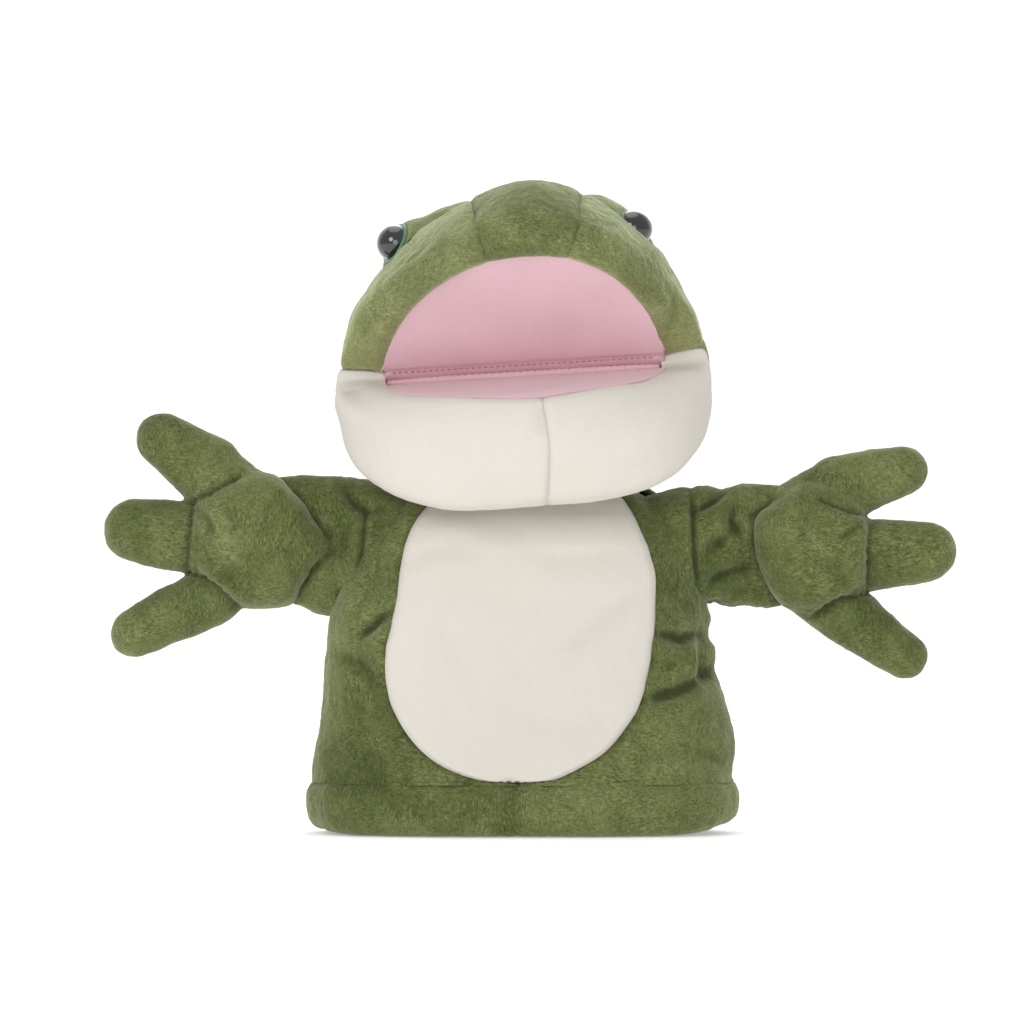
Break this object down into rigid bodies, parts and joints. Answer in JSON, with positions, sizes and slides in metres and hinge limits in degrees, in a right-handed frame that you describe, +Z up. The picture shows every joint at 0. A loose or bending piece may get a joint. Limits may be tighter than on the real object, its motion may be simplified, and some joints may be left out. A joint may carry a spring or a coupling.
{
  "type": "hand puppet",
  "caption": "Plush frog hand puppet with a wide opening mouth, domed eyes, stuffed three-fingered hands, a cream belly and an open hem for the hand.",
  "frame": {"origin": "centre of the bounding box in X and Y, on the plane the hem rests on", "axes": "+X to the puppet's left hand, as the viewer's right, +Y to its back, +Z up through the head; the face looks along -Y"},
  "size_m": [0.32, 0.1222, 0.2441],
  "materials": {
    "body_back_panel": "short-pile plush, olive green",
    "body_front_left_panel": "short-pile plush, olive green",
    "body_front_right_panel": "short-pile plush, olive green",
    "belly_panel": "short-pile plush, cream",
    "hem_band": "short-pile plush, olive green",
    "body_lining": "thin tricot lining",
    "neck_tube": "short-pile plush, olive green",
    "left_sleeve": "short-pile plush, olive green",
    "right_sleeve": "short-pile plush, olive green",
    "left_sleeve_filling": "loose polyester fibre",
    "right_sleeve_filling": "loose polyester fibre",
    "left_palm_front": "short-pile plush, olive green",
    "left_palm_back": "short-pile plush, olive green",
    "left_palm_filling": "loose polyester fibre",
    "right_palm_front": "short-pile plush, olive green",
    "right_palm_back": "short-pile plush, olive green",
    "right_palm_filling": "loose polyester fibre",
    "left_upper_finger": "short-pile plush, olive green",
    "left_middle_finger": "short-pile plush, olive green",
    "left_lower_finger": "short-pile plush, olive green",
    "right_upper_finger": "short-pile plush, olive green",
    "right_middle_finger": "short-pile plush, olive green",
    "right_lower_finger": "short-pile plush, olive green",
    "left_upper_finger_filling": "loose polyester fibre",
    "left_middle_finger_filling": "loose polyester fibre",
    "left_lower_finger_filling": "loose polyester fibre",
    "right_upper_finger_filling": "loose polyester fibre",
    "right_middle_finger_filling": "loose polyester fibre",
    "right_lower_finger_filling": "loose polyester fibre",
    "crown_panel": "short-pile plush, olive green",
    "left_cheek_panel": "short-pile plush, olive green",
    "right_cheek_panel": "short-pile plush, olive green",
    "head_back_panel": "short-pile plush, olive green",
    "left_eye_mound": "short-pile plush, olive green",
    "right_eye_mound": "short-pile plush, olive green",
    "left_eye": "polished black dome",
    "right_eye": "polished black dome",
    "left_eye_rim": "satin grey-green",
    "right_eye_rim": "satin grey-green",
    "left_eye_washer": "moulded white",
    "right_eye_washer": "moulded white",
    "palate": "brushed knit, pink",
    "upper_mouth_board": "plain board",
    "upper_head_filling": "loose polyester fibre",
    "finger_pocket": "thin tricot lining",
    "jaw_left_panel": "short-pile plush, cream",
    "jaw_right_panel": "short-pile plush, cream",
    "left_throat_panel": "short-pile plush, olive green",
    "right_throat_panel": "short-pile plush, olive green",
    "nape_panel": "short-pile plush, olive green",
    "mouth_floor": "brushed knit, pink",
    "lower_mouth_board": "plain board",
    "jaw_filling": "loose polyester fibre",
    "thumb_pocket": "thin tricot lining",
    "mouth_crease_seam": "sewn crease"
  },
  "bodies": {
    "torso": {"body_back_panel": "body_back_panel", "body_front_left_panel": "body_front_left_panel", "body_front_right_panel": "body_front_right_panel", "belly_panel": "belly_panel", "hem_band": "hem_band", "body_lining": "body_lining"},
    "neck": {"neck_tube": "neck_tube"},
    "jaw": {"jaw_left_panel": "jaw_left_panel", "jaw_right_panel": "jaw_right_panel", "left_throat_panel": "left_throat_panel", "right_throat_panel": "right_throat_panel", "nape_panel": "nape_panel", "mouth_floor": "mouth_floor", "lower_mouth_board": "lower_mouth_board", "jaw_filling": "jaw_filling", "thumb_pocket": "thumb_pocket", "mouth_crease_seam": "mouth_crease_seam"},
    "upper_head": {"crown_panel": "crown_panel", "left_cheek_panel": "left_cheek_panel", "right_cheek_panel": "right_cheek_panel", "head_back_panel": "head_back_panel", "left_eye_mound": "left_eye_mound", "right_eye_mound": "right_eye_mound", "left_eye": "left_eye", "right_eye": "right_eye", "left_eye_rim": "left_eye_rim", "right_eye_rim": "right_eye_rim", "left_eye_washer": "left_eye_washer", "right_eye_washer": "right_eye_washer", "palate": "palate", "upper_mouth_board": "upper_mouth_board", "upper_head_filling": "upper_head_filling", "finger_pocket": "finger_pocket"},
    "left_arm": {"left_sleeve": "left_sleeve", "left_sleeve_filling": "left_sleeve_filling"},
    "left_hand": {"left_palm_front": "left_palm_front", "left_palm_back": "left_palm_back", "left_palm_filling": "left_palm_filling"},
    "left_upper_finger_body": {"left_upper_finger": "left_upper_finger", "left_upper_finger_filling": "left_upper_finger_filling"},
    "left_middle_finger_body": {"left_middle_finger": "left_middle_finger", "left_middle_finger_filling": "left_middle_finger_filling"},
    "left_lower_finger_body": {"left_lower_finger": "left_lower_finger", "left_lower_finger_filling": "left_lower_finger_filling"},
    "right_arm": {"right_sleeve": "right_sleeve", "right_sleeve_filling": "right_sleeve_filling"},
    "right_hand": {"right_palm_front": "right_palm_front", "right_palm_back": "right_palm_back", "right_palm_filling": "right_palm_filling"},
    "right_upper_finger_body": {"right_upper_finger": "right_upper_finger", "right_upper_finger_filling": "right_upper_finger_filling"},
    "right_middle_finger_body": {"right_middle_finger": "right_middle_finger", "right_middle_finger_filling": "right_middle_finger_filling"},
    "right_lower_finger_body": {"right_lower_finger": "right_lower_finger", "right_lower_finger_filling": "right_lower_finger_filling"}
  },
  "joints": [
    {"name": "head_turn", "type": "hinge", "parent": "torso", "child": "neck", "pos_m": [-0.0028, 0.007, 0.13], "axis": [0, 0, 1], "range_deg": [-15, 15]},
    {"name": "head_nod", "type": "hinge", "parent": "neck", "child": "jaw", "pos_m": [-0.0028, 0.008, 0.14], "axis": [1, 0, 0], "range_deg": [-15, 8], "stiffness_Nm_per_rad": 1.5},
    {"name": "mouth", "type": "hinge", "parent": "jaw", "child": "upper_head", "pos_m": [-0.0028, 0.004, 0.172], "axis": [0.9981, 0, 0.061], "range_deg": [0, 52], "stiffness_Nm_per_rad": 0.3, "springref_deg": -34.38},
    {"name": "left_arm_swing", "type": "hinge", "parent": "torso", "child": "left_arm", "pos_m": [-0.0608, 0, 0.109], "axis": [0, 0, 1], "range_deg": [-20, 26], "stiffness_Nm_per_rad": 0.05},
    {"name": "left_wrist", "type": "hinge", "parent": "left_arm", "child": "left_hand", "pos_m": [-0.0995, 0, 0.1095], "axis": [0, 1, 0], "range_deg": [-20, 20], "stiffness_Nm_per_rad": 0.3},
    {"name": "left_upper_finger_curl", "type": "hinge", "parent": "left_hand", "child": "left_upper_finger_body", "pos_m": [-0.1242, 0, 0.1394], "axis": [0.4948, 0, 0.869], "range_deg": [-25, 50], "stiffness_Nm_per_rad": 0.02},
    {"name": "left_middle_finger_curl", "type": "hinge", "parent": "left_hand", "child": "left_middle_finger_body", "pos_m": [-0.1318, 0, 0.1108], "axis": [0.1547, 0, 0.988], "range_deg": [-25, 50], "stiffness_Nm_per_rad": 0.02},
    {"name": "left_lower_finger_curl", "type": "hinge", "parent": "left_hand", "child": "left_lower_finger_body", "pos_m": [-0.127, 0, 0.0868], "axis": [-0.4668, 0, 0.8844], "range_deg": [-25, 50], "stiffness_Nm_per_rad": 0.02},
    {"name": "right_arm_swing", "type": "hinge", "parent": "torso", "child": "right_arm", "pos_m": [0.0552, 0, 0.109], "axis": [0, 0, -1], "range_deg": [-20, 26], "stiffness_Nm_per_rad": 0.05},
    {"name": "right_wrist", "type": "hinge", "parent": "right_arm", "child": "right_hand", "pos_m": [0.0968, 0, 0.1086], "axis": [0, -1, 0], "range_deg": [-20, 20], "stiffness_Nm_per_rad": 0.3},
    {"name": "right_upper_finger_curl", "type": "hinge", "parent": "right_hand", "child": "right_upper_finger_body", "pos_m": [0.12, 0, 0.1316], "axis": [0.3971, 0, -0.9178], "range_deg": [-25, 50], "stiffness_Nm_per_rad": 0.02},
    {"name": "right_middle_finger_curl", "type": "hinge", "parent": "right_hand", "child": "right_middle_finger_body", "pos_m": [0.1292, 0, 0.106], "axis": [0.0611, 0, -0.9981], "range_deg": [-25, 50], "stiffness_Nm_per_rad": 0.02},
    {"name": "right_lower_finger_curl", "type": "hinge", "parent": "right_hand", "child": "right_lower_finger_body", "pos_m": [0.1226, 0, 0.0816], "axis": [-0.6196, 0, -0.7849], "range_deg": [-25, 50], "stiffness_Nm_per_rad": 0.02}
  ]
}
